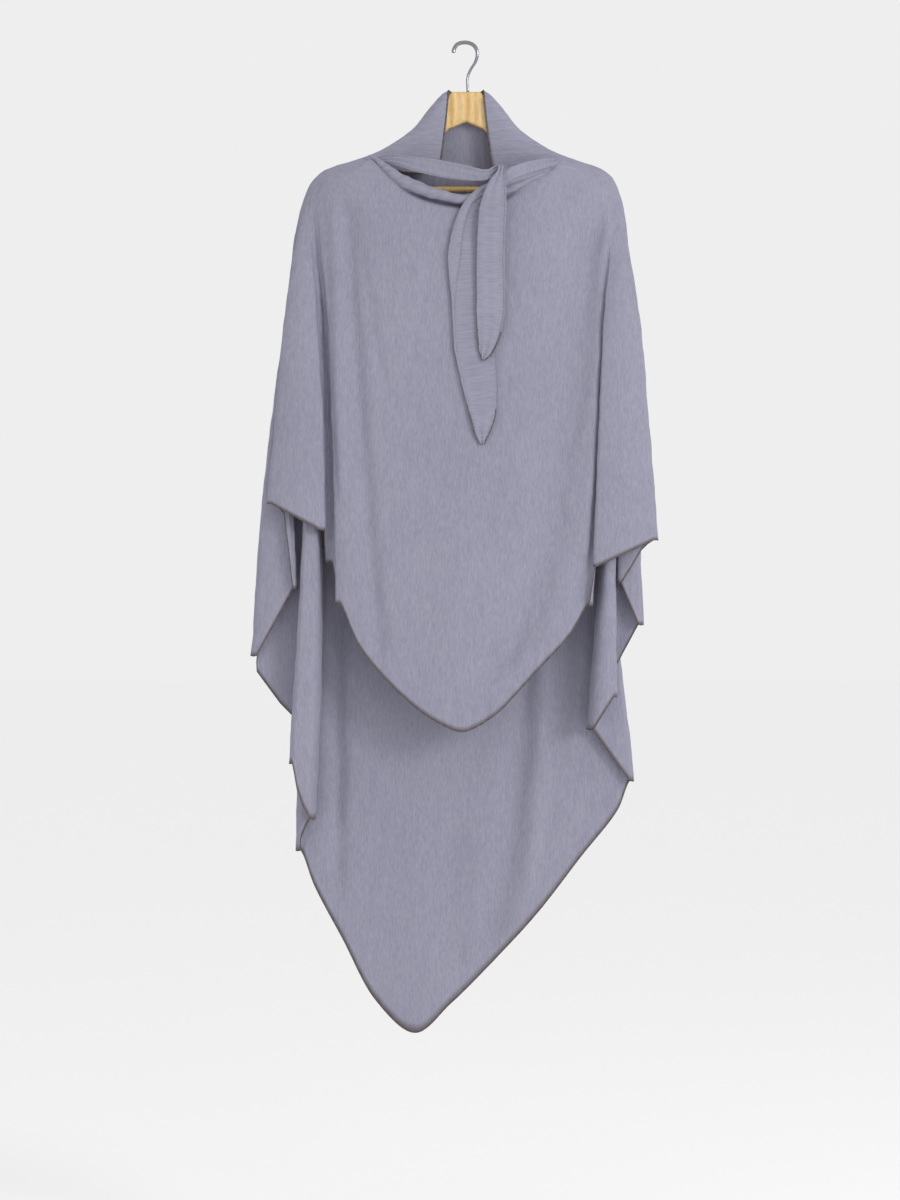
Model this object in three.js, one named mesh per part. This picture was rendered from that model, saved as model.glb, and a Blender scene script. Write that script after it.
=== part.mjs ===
// A khimar veil with self ties, hanging on a wooden clothes hanger with a wire hook.
// Millimetres, +X to the wearer's left (right in a front view), +Y to the back, +Z up.
// The origin is the inside of the hook's crown, where the hook bears on a rail.
import * as THREE from "three";

// Driving sizes
const half_width = 290;
const hang_drop = 1450;
const veil_depth = 100;
const cloth_wall = 1.3;
const tie_wall = 2.6;
const tie_flat_width = 40;
const arm_thickness = 12;
const arm_height = 50;
const arm_length = 200;
const arm_edge_round = 3.5;
const arm_foot_length = 50;
const arm_foot_wall = 7;
const bar_diameter = 9;
const bar_sides = 12;
const bar_below_head = 141.5;
const hook_wire = 4;
const hook_radius = 19;
const hook_sides = 10;
const hook_steps = 44;
const piece_gap = 0.3;
const cloth_clearance = 0.75;

const cloth_grey = new THREE.MeshStandardMaterial({ color: 0x9a99aa, roughness: 0.95, metalness: 0 });
const tie_grey = new THREE.MeshStandardMaterial({ color: 0xa09fb0, roughness: 0.95, metalness: 0 });
const honey_wood = new THREE.MeshStandardMaterial({ color: 0xd4af69, roughness: 0.35, metalness: 0 });
const bar_wood = new THREE.MeshStandardMaterial({ color: 0xb1955f, roughness: 0.4, metalness: 0 });
const chrome = new THREE.MeshStandardMaterial({ color: 0xc8cace, roughness: 0.15, metalness: 1 });

// Places are shares in percent: out and across of half_width, back of veil_depth, down of hang_drop.
function place(side, out, back, down) {
  return new THREE.Vector3(
    side * out / 100 * half_width,
    back / 100 * veil_depth,
    -down / 100 * hang_drop,
  );
}

// The yoke: one row for each line round the neck, from the face opening's edge to the shoulder.
// Each row has the same ten guides, from the front centre round the side to the back centre.
// right: how much narrower the line is on the right.
const yoke_guides = ["front", "chest", "root", "side", "corner", "collar", "head", "over", "behind", "back"];
const yoke = [
  {
    line: "edge",
    right: 1,
    out: [0, 23.5, 44.5, 30, 13.8, 10.7, 9.2, 8.8, 7.6, 0],
    back: [-46, -39, -20, -9, -9.5, -10.5, -10, -2, 8.5, 10],
    down: [15.7, 14.3, 11.95, 13.3, 12.5, 8.65, 5.75, 4.65, 4.7, 4.9],
  },
  {
    line: "lip",
    right: 1,
    out: [0, 25, 48, 38, 27, 19, 13, 9.9, 8, 0],
    back: [-48.5, -41, -22, -10.5, -10.5, -10.5, -10, 0, 9, 10.5],
    down: [16.3, 15, 11.75, 11.7, 10.6, 8, 5.9, 4.75, 5.1, 5.4],
  },
  {
    line: "crest",
    right: 1,
    out: [0, 27, 53, 50, 38, 25.5, 16.5, 10.8, 8.3, 0],
    back: [-50, -43, -23, -9, -3, -1, -1, 5, 10.5, 11],
    down: [17, 16, 12.5, 11.6, 10.2, 8.3, 6, 4.95, 6.2, 6.5],
  },
  {
    line: "nape",
    right: 0.99,
    out: [0, 28.5, 58.5, 60, 47, 32, 20.5, 12.5, 8.6, 0],
    back: [-51, -45, -24, -6, 6, 9, 10, 10.5, 11.5, 12],
    down: [18, 17.2, 13.3, 12, 11.3, 9.8, 7.8, 7, 7.6, 7.8],
  },
  {
    line: "slope",
    right: 0.975,
    out: [0, 30, 66, 72, 60, 44, 29, 16, 9, 0],
    back: [-52, -46.5, -24, -2, 13, 15, 17, 18, 18.5, 19],
    down: [20, 19, 14.2, 12.8, 13, 12.5, 12, 11.7, 11.6, 11.6],
  },
  {
    line: "shoulder",
    right: 0.96,
    out: [0, 32, 71.5, 80.8, 75.5, 61, 44, 25, 10, 0],
    back: [-53, -48, -22, 0, 17, 25, 29, 31, 32, 32],
    down: [22, 20.5, 15.9, 15.3, 15.9, 17, 18, 18.5, 18.7, 18.8],
  },
];
const root_guide = yoke_guides.indexOf("root");
const corner_guide = yoke_guides.indexOf("corner");
const yoke_steps = [2, 2, 2, 2, 3];
const body_steps = [4, 4, 4];

// The folds of each side, from the front panel round to the back panel, one row for each.
// out: a third and two thirds of the way down and at the hem. turn: how far the cloth runs in and
// out of the fold beside its tip. back: the depth it comes in at, has at the tip and leaves at.
const left_folds = [
  { fold: "panel_edge", out: [68.3, 66, 64.5], hem: 55.9, turn: [-2, -0.3], back: [-46, -43, -37] },
  { fold: "groove", out: [71, 68.5, 68], hem: 51.8, turn: [-1.6, 1.6], back: [-29, -26, -29] },
  { fold: "flap_inner", out: [74.5, 71, 70], hem: 48.6, turn: [0.3, 2.4], back: [-38, -45, -49] },
  { fold: "flap_outer", out: [89, 94, 99], hem: 46, turn: [-2.4, -2.4], back: [-45, -38, -31] },
  { fold: "under_flap", out: [85, 88, 90.5], hem: 46.9, back: [-29] },
  { fold: "tuck", out: [85, 86.5, 84.3], hem: 54.4, turn: [2, 2], back: [-27, -21.5, -16] },
  { fold: "wing_outer", out: [92.5, 101.8, 107], hem: 61.1, turn: [-2.4, -2.4], back: [-12, -5, 2] },
  { fold: "wing_back", out: [85, 97, 104.5], hem: 62.7, back: [3] },
  { fold: "pocket", out: [80.3, 77.5, 77.5], hem: 68.4, turn: [2.8, 1.2], back: [6, -8, -22] },
  { fold: "pillar_outer", out: [78.8, 82.3, 88], hem: 71.8, turn: [-1.7, -1.7], back: [-24, -30, -36] },
  { fold: "pillar_face", out: [77.3, 79.5, 84], hem: 74.3, back: [-36] },
  { fold: "pillar_inner", out: [75.3, 71.5, 75], hem: 77.3, turn: [2.8, 2.8], back: [-35, -9, 17] },
  { fold: "pillar_back", out: [76.5, 77, 83], hem: 79.6, back: [19] },
  { fold: "back_outer", out: [79, 82.5, 85.5], hem: 80.7, turn: [-2.4, -2.4], back: [20, 26, 32] },
];
const right_folds = [
  { fold: "panel_edge", out: [69.7, 68.3, 62.3], hem: 56.1, turn: [-2, -1], back: [-34, -38.5, -42.5] },
  { fold: "flap_inner", out: [68.4, 65.3, 62.8], hem: 52.2, turn: [1, 2], back: [-44, -47.5, -51] },
  { fold: "flap_outer", out: [85.8, 91, 95.3], hem: 49.6, turn: [-2.4, -2.4], back: [-45, -38, -31] },
  { fold: "under_flap", out: [81, 84, 87], hem: 50.6, back: [-29] },
  { fold: "tuck", out: [78, 76.5, 75.3], hem: 53.8, turn: [2, 2], back: [-27, -21.5, -16] },
  { fold: "wing_outer", out: [83, 86, 88.5], hem: 58, turn: [-2.4, -2.4], back: [-12, -5, 2] },
  { fold: "pocket", out: [75.5, 71.3, 68.5], hem: 63.6, turn: [2.8, 1.2], back: [6, -8, -22] },
  { fold: "pillar_outer", out: [74, 74.3, 75], hem: 65.2, turn: [-0.3, -1.7], back: [-24, -27, -31] },
  { fold: "pillar_inner", out: [71.8, 67, 60.5], hem: 68.4, turn: [2.8, 2.8], back: [-30, -7, 17] },
  { fold: "back_outer", out: [73, 74.3, 84.8], hem: 73.7, turn: [-2.4, -2.4], back: [20, 26, 32] },
];
const fold_growth = [0.7, 0.97, 1];
const turn_growth = [0.25, 0.85, 1];

// The hems between the folds: across is negative on the left. guide is the yoke's guide it hangs from.
const front_hem = [
  { across: -53, down: 60.1, back: -49, guide: 1.53 },
  { across: -38.5, down: 63.7, back: -51, guide: 1.16 },
  { across: -22.5, down: 66.6, back: -52, guide: 0.7 },
  { across: -11, down: 68, back: -53, guide: 0.34 },
  { across: -1.5, down: 68.6, back: -53, guide: 0 },
  { across: 14.5, down: 66.9, back: -52, guide: 0.45 },
  { across: 24.5, down: 64.9, back: -51, guide: 0.77 },
  { across: 34.5, down: 62.7, back: -49, guide: 1.06 },
  { across: 51, down: 59.1, back: -44, guide: 1.5 },
];
const back_hem = [
  { across: -76, down: 84.3, back: 34, guide: 5 },
  { across: -62, down: 89.6, back: 36, guide: 6 },
  { across: -45, down: 95.9, back: 37, guide: 7 },
  { across: -25.5, down: 99.1, back: 37, guide: 8 },
  { across: -8, down: 96.2, back: 37, guide: 9 },
  { across: 14, down: 91.8, back: 37, guide: 8 },
  { across: 36, down: 87, back: 37, guide: 7 },
  { across: 58, down: 81.3, back: 36, guide: 6 },
  { across: 76, down: 76.7, back: 34, guide: 5 },
];

// One point of a yoke line at a guide, which may lie between two of them.
function yoke_point(line, side, guide) {
  const narrower = side > 0 ? line.right : 1;
  const points = line.out.map((out, k) => place(side, out * narrower, line.back[k], line.down[k]));
  const curve = new THREE.CatmullRomCurve3(points, false, "centripetal");
  return curve.getPoint(guide / (points.length - 1));
}

// A column of the cloth: the points that one thread passes from the face opening to the hem.
function column(side, guide, thirds, hem_down) {
  const upper = yoke.map((line) => yoke_point(line, side, guide));
  const shoulder = upper[upper.length - 1];
  const lower = thirds.map((knot, k) => {
    const share = (k + 1) / thirds.length;
    const hem = place(1, 0, 0, hem_down).z;
    const depth = THREE.MathUtils.lerp(shoulder.y, knot.back / 100 * veil_depth, fold_growth[k]);
    return new THREE.Vector3(
      knot.across / 100 * half_width,
      depth,
      THREE.MathUtils.lerp(shoulder.z, hem, share),
    );
  });
  return [...upper, ...lower];
}

// The columns of one side's folds: three for a fold that turns, one for a plain bend.
function fold_columns(side, folds) {
  const spots = [];
  folds.forEach((row) => {
    if (row.turn) {
      spots.push({ row, shift: row.turn[0], back: row.back[0] });
      spots.push({ row, shift: 0, back: row.back[1] });
      spots.push({ row, shift: row.turn[1], back: row.back[2] });
    } else {
      spots.push({ row, shift: 0, back: row.back[0] });
    }
  });
  const span = corner_guide - root_guide;
  return spots.map((spot, k) => {
    const guide = root_guide + span * k / (spots.length - 1);
    const thirds = spot.row.out.map((out, n) => ({
      across: side * (out + spot.shift * turn_growth[n]),
      back: spot.back,
    }));
    return column(side, guide, thirds, spot.row.hem);
  });
}

// The columns of a panel: straight from the shoulder line to the hem.
function panel_columns(rows) {
  return rows.map((row) => {
    const side = row.across < 0 ? -1 : 1;
    const shoulder = yoke_point(yoke[yoke.length - 1], side, row.guide).x / half_width * 100;
    const thirds = fold_growth.map((growth, n) => ({
      across: THREE.MathUtils.lerp(shoulder, row.across, (n + 1) / fold_growth.length),
      back: row.back,
    }));
    return column(side, row.guide, thirds, row.down);
  });
}

// A wall of the cloth's thickness on both sides of a grid that is closed round one way.
function cloth_wall_geometry(columns, steps) {
  const grid = columns.map((points) => {
    const curve = new THREE.CatmullRomCurve3(points, false, "centripetal");
    const spans = points.length - 1;
    const thread = [curve.getPoint(0)];
    steps.forEach((count, span) => {
      for (let k = 1; k <= count; k += 1) {
        thread.push(curve.getPoint((span + k / count) / spans));
      }
    });
    return thread;
  });
  const around = grid.length;
  const rows = grid[0].length;
  const positions = [];
  const offset = (sign) => {
    for (let i = 0; i < around; i += 1) {
      for (let j = 0; j < rows; j += 1) {
        const across = grid[(i + 1) % around][j].clone().sub(grid[(i + around - 1) % around][j]);
        const along = grid[i][Math.min(j + 1, rows - 1)].clone().sub(grid[i][Math.max(j - 1, 0)]);
        const normal = along.cross(across).normalize();
        const point = grid[i][j].clone().addScaledVector(normal, sign * cloth_wall / 2);
        positions.push(point.x, point.y, point.z);
      }
    }
  };
  offset(1);
  offset(-1);
  const inner = around * rows;
  const index = [];
  const quad = (a, b, c, d) => index.push(a, b, c, a, c, d);
  for (let i = 0; i < around; i += 1) {
    const here = i * rows;
    const next = ((i + 1) % around) * rows;
    for (let j = 0; j < rows - 1; j += 1) {
      quad(here + j, here + j + 1, next + j + 1, next + j);
      quad(inner + here + j, inner + next + j, inner + next + j + 1, inner + here + j + 1);
    }
    const last = rows - 1;
    quad(here, next, inner + next, inner + here);
    quad(here + last, inner + here + last, inner + next + last, next + last);
  }
  const geometry = new THREE.BufferGeometry();
  geometry.setAttribute("position", new THREE.Float32BufferAttribute(positions, 3));
  geometry.setIndex(index);
  return geometry;
}

// The whole veil in ring order: front panel, left folds, back panel, right folds.
function veil_geometry() {
  const middle = front_hem.findIndex((row) => row.guide === 0);
  const front = panel_columns(front_hem);
  const ring = [
    ...front.slice(0, middle + 1).reverse(),
    ...fold_columns(-1, left_folds),
    ...panel_columns(back_hem),
    ...fold_columns(1, right_folds).reverse(),
    ...front.slice(middle + 1).reverse(),
  ];
  return cloth_wall_geometry(ring, [...yoke_steps, ...body_steps]);
}

// A strip of folded cloth along a route: rows of place, width share, thickness share and lean.
// lean is the angle of the strip's width in the front view, 0 level and 90 upright.
const left_tie = [
  { across: -43.4, back: -22.5, down: 11.75, width: 0.2, thick: 0.9, lean: 95 },
  { across: -36, back: -32, down: 11.75, width: 0.34, thick: 1, lean: 95 },
  { across: -26, back: -42, down: 12.25, width: 0.52, thick: 1.1, lean: 98 },
  { across: -12, back: -51, down: 12.85, width: 0.6, thick: 1.2, lean: 100 },
  { across: 0, back: -59, down: 13.3, width: 0.54, thick: 1.4, lean: 100 },
  { across: 7.5, back: -63.5, down: 13.55, width: 0.4, thick: 1.5, lean: 102 },
  { across: 12, back: -60, down: 13.4, width: 0.36, thick: 1.4, lean: 112 },
  { across: 15.5, back: -55.5, down: 13, width: 0.34, thick: 1.3, lean: 140 },
  { across: 17.3, back: -56, down: 12.6, width: 0.34, thick: 1.3, lean: 172 },
  { across: 17.5, back: -61, down: 12.1, width: 0.34, thick: 1.3, lean: 180 },
  { across: 16.8, back: -67.5, down: 13, width: 0.42, thick: 1.3, lean: 180 },
  { across: 15, back: -71, down: 14.7, width: 0.74, thick: 1.2, lean: 180 },
  { across: 13.3, back: -69, down: 17, width: 0.98, thick: 1.1, lean: 180 },
  { across: 12.2, back: -65.5, down: 21.5, width: 1, thick: 1, lean: 180 },
  { across: 12.2, back: -64.5, down: 27, width: 1.02, thick: 1, lean: 180 },
  { across: 11.1, back: -63.5, down: 29.5, width: 0.78, thick: 1, lean: 174 },
  { across: 9.6, back: -62.5, down: 31, width: 0.48, thick: 1, lean: 162 },
  { across: 8.3, back: -62, down: 31.8, width: 0.12, thick: 0.8, lean: 160 },
];
const right_tie = [
  { across: 44, back: -30.8, down: 12.2, width: 0.3, thick: 0.9, lean: 85 },
  { across: 38, back: -40, down: 12.55, width: 0.46, thick: 1, lean: 83 },
  { across: 30, back: -50, down: 13.1, width: 0.6, thick: 1.1, lean: 80 },
  { across: 22, back: -59, down: 13.7, width: 0.56, thick: 1.3, lean: 92 },
  { across: 15, back: -63.5, down: 14.45, width: 0.42, thick: 1.3, lean: 108 },
  { across: 11.5, back: -61.5, down: 14.85, width: 0.4, thick: 1.3, lean: 122 },
  { across: 8, back: -59, down: 15.3, width: 0.46, thick: 1.3, lean: 135 },
  { across: 3.2, back: -57.5, down: 16.4, width: 0.6, thick: 1.2, lean: 155 },
  { across: 0.2, back: -57, down: 18.6, width: 0.9, thick: 1, lean: 172 },
  { across: -0.6, back: -58, down: 21.4, width: 1.22, thick: 1, lean: 180 },
  { across: 1.6, back: -58.3, down: 26, width: 1.26, thick: 1, lean: 180 },
  { across: 3.9, back: -58.5, down: 30.5, width: 1.42, thick: 1, lean: 181 },
  { across: 6.9, back: -58.5, down: 34.6, width: 1.2, thick: 1, lean: 182 },
  { across: 8.3, back: -58.5, down: 37.4, width: 0.88, thick: 1, lean: 184 },
  { across: 7.9, back: -58.5, down: 39.1, width: 0.5, thick: 1, lean: 186 },
  { across: 8, back: -58.5, down: 40.1, width: 0.14, thick: 0.8, lean: 188 },
];
const tie_steps = 2;
const tie_corner = 0.25;

// A closed strip: an eight-cornered section carried along the route, capped at both ends.
function tie_geometry(rows) {
  const centres = new THREE.CatmullRomCurve3(
    rows.map((row) => place(1, row.across, row.back, row.down)), false, "centripetal");
  const count = (rows.length - 1) * tie_steps + 1;
  const positions = [];
  const sides = 8;
  for (let k = 0; k < count; k += 1) {
    const spot = k / tie_steps;
    const low = Math.min(Math.floor(spot), rows.length - 2);
    const share = spot - low;
    const blend = (name) => THREE.MathUtils.lerp(rows[low][name], rows[low + 1][name], share);
    const centre = centres.getPoint(k / (count - 1));
    const tangent = centres.getTangent(k / (count - 1));
    const lean = THREE.MathUtils.degToRad(blend("lean"));
    const wide = new THREE.Vector3(Math.cos(lean), 0, Math.sin(lean));
    wide.addScaledVector(tangent, -wide.dot(tangent)).normalize();
    const deep = new THREE.Vector3().crossVectors(tangent, wide).normalize();
    const half_wide = blend("width") * tie_flat_width / 2;
    const half_deep = blend("thick") * tie_wall / 2;
    const flat = half_wide - half_deep * 2 * tie_corner;
    const upright = half_deep * (1 - 2 * tie_corner);
    const corners = [
      [half_wide, upright], [flat, half_deep], [-flat, half_deep], [-half_wide, upright],
      [-half_wide, -upright], [-flat, -half_deep], [flat, -half_deep], [half_wide, -upright],
    ];
    corners.forEach(([a, b]) => {
      const point = centre.clone().addScaledVector(wide, a).addScaledVector(deep, b);
      positions.push(point.x, point.y, point.z);
    });
  }
  const index = [];
  for (let k = 0; k < count - 1; k += 1) {
    for (let n = 0; n < sides; n += 1) {
      const a = k * sides + n;
      const b = k * sides + (n + 1) % sides;
      index.push(a, b, b + sides, a, b + sides, a + sides);
    }
  }
  const last = (count - 1) * sides;
  for (let n = 1; n < sides - 1; n += 1) {
    index.push(0, n + 1, n);
    index.push(last, last + n, last + n + 1);
  }
  const geometry = new THREE.BufferGeometry();
  geometry.setAttribute("position", new THREE.Float32BufferAttribute(positions, 3));
  geometry.setIndex(index);
  return geometry;
}

// The volume that a closed geometry's faces enclose, negative where they point inwards.
function enclosed_volume(geometry) {
  const place_of = geometry.getAttribute("position");
  const order = geometry.getIndex();
  const a = new THREE.Vector3();
  const b = new THREE.Vector3();
  const c = new THREE.Vector3();
  let sum = 0;
  for (let k = 0; k < order.count; k += 3) {
    a.fromBufferAttribute(place_of, order.getX(k));
    b.fromBufferAttribute(place_of, order.getX(k + 1));
    c.fromBufferAttribute(place_of, order.getX(k + 2));
    sum += a.dot(b.cross(c)) / 6;
  }
  return sum;
}

function facing_out(geometry) {
  if (enclosed_volume(geometry) < 0) {
    const order = geometry.getIndex();
    for (let k = 0; k < order.count; k += 3) {
      const second = order.getX(k + 1);
      order.setX(k + 1, order.getX(k + 2));
      order.setX(k + 2, second);
    }
  }
  return geometry;
}

// The arms: the upper edge follows the cloth's crest a little below it, and tall is the wood's
// height there as a share of arm_height. out is a share of arm_length.
const arm_edge = [
  { out: 10.4, down: 4.7, tall: 0.92 },
  { out: 12.4, down: 5, tall: 1 },
  { out: 22, down: 6.5, tall: 0.92 },
  { out: 36, down: 8.95, tall: 0.74 },
  { out: 55, down: 10.9, tall: 0.6 },
  { out: 75, down: 12.35, tall: 0.52 },
  { out: 90, down: 13.05, tall: 0.46 },
  { out: 100, down: 13.7, tall: 0.4 },
];
const notch_tall = 0.88;
const head_top = -arm_edge[0].down / 100 * hang_drop - cloth_clearance;
const bar_height = head_top - bar_below_head;
const bar_seat = arm_length - arm_foot_length;

function arms_outline() {
  const height = (down) => -down / 100 * hang_drop - cloth_clearance;
  const top = arm_edge.map((row) => new THREE.Vector2(row.out / 100 * arm_length, height(row.down)));
  const under = arm_edge.map((row, k) => new THREE.Vector2(top[k].x, top[k].y - row.tall * arm_height));
  const before_foot = under.slice(1).filter((p) => p.x < bar_seat - arm_foot_length / 4);
  const foot_bottom = bar_height - bar_diameter / 2 - arm_foot_wall;
  const foot_top = before_foot[before_foot.length - 1].y - arm_foot_wall / 2;
  const foot = [
    new THREE.Vector2(bar_seat, foot_top),
    new THREE.Vector2(bar_seat, foot_bottom),
    new THREE.Vector2(arm_length, foot_bottom),
  ];
  const right = [...top, ...[...before_foot, ...foot].reverse()];
  const notch = new THREE.Vector2(0, head_top - notch_tall * arm_height);
  const left = right.slice().reverse().map((p) => new THREE.Vector2(-p.x, p.y));
  return [...right, notch, ...left];
}

function arms_geometry() {
  const core = arm_thickness - 2 * arm_edge_round;
  const geometry = new THREE.ExtrudeGeometry(new THREE.Shape(arms_outline()), {
    depth: core,
    bevelEnabled: true,
    bevelThickness: arm_edge_round,
    bevelSize: arm_edge_round,
    bevelOffset: -arm_edge_round,
    bevelSegments: 3,
    steps: 1,
  });
  geometry.translate(0, 0, -core / 2);
  geometry.rotateX(Math.PI / 2);
  return geometry;
}

// The hook: a shaft up from the head, round over the rail and down to a short tip.
const hook_route = [
  { across: -0.9, up: -0.66 },
  { across: -0.88, up: -0.4 },
  { across: -0.62, up: -0.02 },
  { across: 0, up: 0.105 },
  { across: 0.55, up: -0.1 },
  { across: 0.83, up: -0.62 },
  { across: 0.72, up: -1.3 },
  { across: 0.34, up: -1.95 },
  { across: 0.13, up: -2.5 },
];

function hook_geometry() {
  const foot = head_top + piece_gap;
  const points = hook_route.map((row) => new THREE.Vector3(row.across * hook_radius, 0, row.up * hook_radius));
  points.push(new THREE.Vector3(hook_route[hook_route.length - 1].across * hook_radius, 0, foot));
  const route = new THREE.CatmullRomCurve3(points, false, "centripetal");
  const section = new THREE.Shape();
  for (let k = 0; k < hook_sides; k += 1) {
    const turn = 2 * Math.PI * k / hook_sides;
    const x = Math.cos(turn) * hook_wire / 2;
    const y = Math.sin(turn) * hook_wire / 2;
    if (k === 0) {
      section.moveTo(x, y);
    } else {
      section.lineTo(x, y);
    }
  }
  return new THREE.ExtrudeGeometry(section, { steps: hook_steps, extrudePath: route, bevelEnabled: false });
}

function piece(name, geometry, material) {
  const mesh = new THREE.Mesh(geometry, material);
  mesh.name = name;
  return mesh;
}

const khimar = new THREE.Group();
khimar.add(piece("veil", facing_out(veil_geometry()), cloth_grey));
khimar.add(piece("tie_left", facing_out(tie_geometry(left_tie)), tie_grey));
khimar.add(piece("tie_right", facing_out(tie_geometry(right_tie)), tie_grey));
khimar.add(piece("hanger_arms", arms_geometry(), honey_wood));
khimar.add(piece("hanger_hook", hook_geometry(), chrome));

const bar_length = 2 * (bar_seat - piece_gap);
const bar_round = new THREE.CylinderGeometry(bar_diameter / 2, bar_diameter / 2, bar_length, bar_sides);
const bar = piece("hanger_bar", bar_round, bar_wood);
bar.rotation.z = Math.PI / 2;
bar.position.set(0, 0, bar_height);
khimar.add(bar);

export default khimar;
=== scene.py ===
# %% [markdown]
# # A khimar veil on a wooden clothes hanger
#
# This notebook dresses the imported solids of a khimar: a grey lilac veil of crinkled crepe that
# hangs on a plain wooden hanger, tied at the front with two ties of the same cloth.
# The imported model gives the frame, in metres: +X to the right of the picture, +Y to the back,
# +Z up, and the origin inside the crown of the hanger's hook.
# Every cell makes one thing and prints what it made, so it can be run and read step by step.

import bmesh
import bpy
import numpy as np
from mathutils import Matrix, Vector


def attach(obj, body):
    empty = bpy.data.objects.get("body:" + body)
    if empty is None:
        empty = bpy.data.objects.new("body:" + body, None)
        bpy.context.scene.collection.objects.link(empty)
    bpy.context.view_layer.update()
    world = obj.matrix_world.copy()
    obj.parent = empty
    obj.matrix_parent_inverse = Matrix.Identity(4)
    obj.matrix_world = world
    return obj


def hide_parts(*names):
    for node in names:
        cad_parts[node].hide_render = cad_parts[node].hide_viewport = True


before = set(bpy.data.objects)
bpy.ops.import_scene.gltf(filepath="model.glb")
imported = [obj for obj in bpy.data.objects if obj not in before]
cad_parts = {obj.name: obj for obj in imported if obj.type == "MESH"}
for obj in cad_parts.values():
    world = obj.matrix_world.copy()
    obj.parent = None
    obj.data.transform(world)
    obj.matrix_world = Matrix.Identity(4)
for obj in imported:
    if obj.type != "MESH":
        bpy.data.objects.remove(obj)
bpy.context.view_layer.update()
print("nodes:", sorted(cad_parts))

# %% [markdown]
# ## The camera
#
# The picture is a straight front view from some metres away, so lines that run back hardly
# converge. A long lens does that. The frame is 1.74 m tall where the veil hangs, and Blender's
# sensor width is the long side's, so the lens follows from the distance by similar triangles.

# %% Camera
# In metres: the frame's height at the veil, the camera's distance and aim, and how far it sees.
FRAME_TALL = 1.74
CAMERA_FAR = 5.5
CAMERA_AIM = (-0.0232, 0.0, -0.8055)
SEEN_FAR = 60

camera_data = bpy.data.cameras.new("camera")
camera_data.lens = camera_data.sensor_width * CAMERA_FAR / FRAME_TALL
camera_data.clip_end = SEEN_FAR
camera = bpy.data.objects.new("camera", camera_data)
camera.location = (CAMERA_AIM[0], -CAMERA_FAR, CAMERA_AIM[2])
camera.rotation_euler = (np.pi / 2, 0, 0)
bpy.context.scene.collection.objects.link(camera)
bpy.context.scene.camera = camera
print("lens", round(camera_data.lens, 1), "mm")

# %% [markdown]
# ## Small tools
#
# A few helpers do most of the work. A centripetal Catmull-Rom curve passes smoothly through
# chosen points without overshooting where they crowd, which is what cloth does between folds.
# A grid of points becomes a mesh in one call, and so does a round tube along a path.

# %% Curves through points
def catmull_rom(points, at):
    """Points on centripetal Catmull-Rom curves.

    points has shape (..., n, 3) and at holds parameters from 0 to n - 1. Between points 1 and 2
    the curve is the cubic Hermite with tangents from the four neighbours, each span's knot
    distance being the square root of its length. The ends are carried on in a straight line.
    """
    count = points.shape[-2]
    low = np.clip(np.floor(at).astype(int), 0, count - 2)
    first = 2 * points[..., :1, :] - points[..., 1:2, :]
    last = 2 * points[..., -1:, :] - points[..., -2:-1, :]
    padded = np.concatenate([first, points, last], axis=-2)
    return hermite(*(padded[..., low + k, :] for k in range(4)), (at - low)[..., None])


def hermite(p0, p1, p2, p3, w):
    """The centripetal span from p1 to p2 at the share w, from its four neighbouring points."""
    def root_distance(a, b):
        return np.maximum(np.linalg.norm(b - a, axis=-1, keepdims=True), 1e-9) ** 0.5

    d0, d1, d2 = root_distance(p0, p1), root_distance(p1, p2), root_distance(p2, p3)
    start = ((p1 - p0) / d0 - (p2 - p0) / (d0 + d1) + (p2 - p1) / d1) * d1
    end = ((p2 - p1) / d1 - (p3 - p1) / (d1 + d2) + (p3 - p2) / d2) * d1
    cubic = 2 * p1 - 2 * p2 + start + end
    square = -3 * p1 + 3 * p2 - 2 * start - end
    return cubic * w ** 3 + square * w ** 2 + start * w + p1


def smooth_step(low, high, value):
    """0 below low, 1 above high, and 3 t squared minus 2 t cubed between them."""
    t = np.clip((value - low) / (high - low), 0, 1)
    return t * t * (3 - 2 * t)


print("a curve through 3 points:", catmull_rom(np.eye(3), np.array([0.5])).round(3))

# %% From a grid to a mesh
def mesh_piece(name, points, quads, uv=None):
    """A mesh object named name from points in mm, shape (n, 3), and quads, shape (m, 4).

    uv, if given, holds one pair in metres for each corner of each quad, in the quads' order.
    """
    mesh = bpy.data.meshes.new(name)
    mesh.from_pydata((points / 1000).tolist(), [], quads.tolist())
    mesh.polygons.foreach_set("use_smooth", np.ones(len(quads), bool))
    if uv is not None:
        layer = mesh.uv_layers.new(name="cloth")
        layer.data.foreach_set("uv", uv.astype(np.float32).ravel())
    piece = bpy.data.objects.new(name, mesh)
    bpy.context.scene.collection.objects.link(piece)
    return piece


def grid_quads(across, along, closed):
    """The quads of an across by along grid of points, numbered along first.

    closed joins the last column to the first. The order makes the faces point outwards on a
    grid that runs round to the left at the front and goes down.
    """
    i = np.arange(across if closed else across - 1)[:, None]
    j = np.arange(along - 1)[None, :]
    here, there = i * along, (i + 1) % across * along
    return np.stack([here + j, there + j, there + j + 1, here + j + 1], axis=-1).reshape(-1, 4)


def grid_normals(grid, closed):
    """Unit normals of a grid of points: the cross product of its two directions at each one."""
    if closed:
        across = np.roll(grid, -1, axis=0) - np.roll(grid, 1, axis=0)
    else:
        across = np.gradient(grid, axis=0)
    normal = np.cross(across, np.gradient(grid, axis=1))
    return normal / np.maximum(np.linalg.norm(normal, axis=-1, keepdims=True), 1e-9)


print("quads of a 4 by 3 ring:", len(grid_quads(4, 3, True)))

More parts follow.
